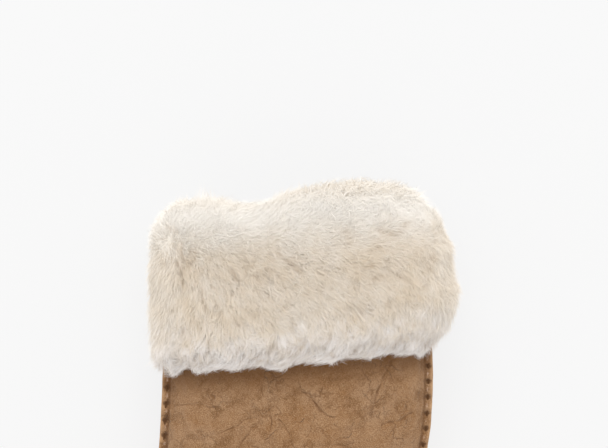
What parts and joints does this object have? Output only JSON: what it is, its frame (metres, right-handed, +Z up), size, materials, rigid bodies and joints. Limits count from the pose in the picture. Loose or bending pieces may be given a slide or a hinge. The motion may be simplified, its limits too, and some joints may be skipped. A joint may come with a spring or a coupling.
{
  "type": "shearling mitten",
  "caption": "Left-hand shearling mitten lying on its palm: two suede panels with an outside stitched edge, open for the hand, and a deep turned-back cuff of wool.",
  "frame": {"origin": "on the surface that the mitten lies on, under the middle of its bounding box", "axes": "+Y out of the mouth along the mitten, +X towards the little finger's side, +Z up from the palm to the back of the hand"},
  "size_m": [0.1882, 0.2584, 0.0583],
  "materials": {
    "suede": "matt tan suede with a short nap, raw paler edges and dark brown thread",
    "wool": "soft matt cream sheep's wool, whiter at its tips"
  },
  "bodies": {
    "root": {"back_panel": "suede", "palm_panel": "suede", "fur_cuff": "wool"}
  },
  "joints": []
}
